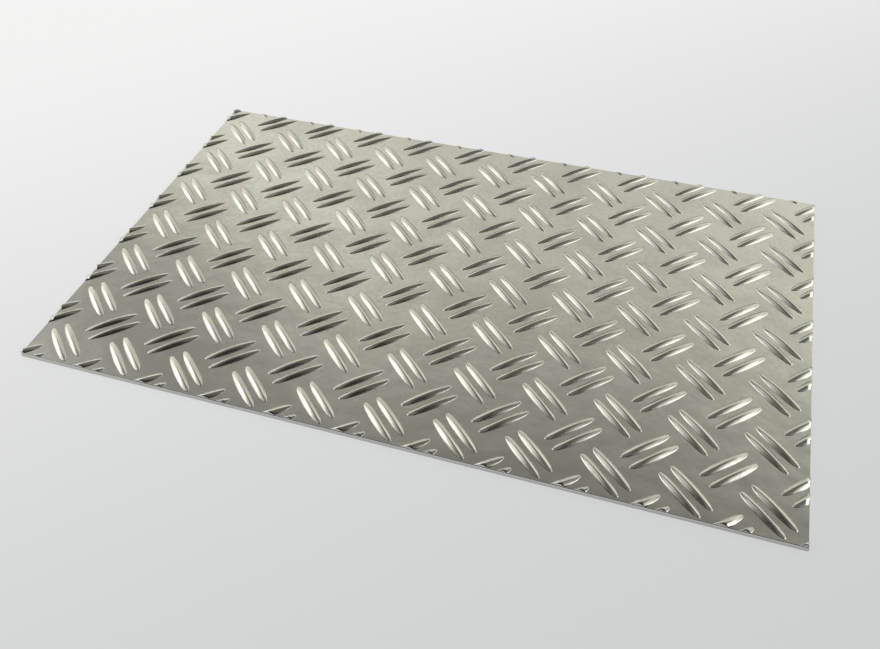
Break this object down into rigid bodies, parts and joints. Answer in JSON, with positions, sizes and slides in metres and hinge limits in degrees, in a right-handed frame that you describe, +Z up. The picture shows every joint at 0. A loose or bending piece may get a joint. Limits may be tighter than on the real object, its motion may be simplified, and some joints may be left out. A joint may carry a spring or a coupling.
{
  "type": "checker plate",
  "caption": "Flat sheet of aluminium checker plate, with pairs of raised tread bars in a basket-weave pattern.",
  "frame": {"origin": "centre of the flat underside", "axes": "+X along the sheet's length, +Y across it, +Z up out of the face with the tread bars"},
  "size_m": [0.4, 0.25, 0.004],
  "materials": {
    "aluminium": "mill finish, satin-bright, with brighter tread bars and sheared edges"
  },
  "bodies": {
    "root": {"checker_plate": "aluminium"}
  },
  "joints": []
}
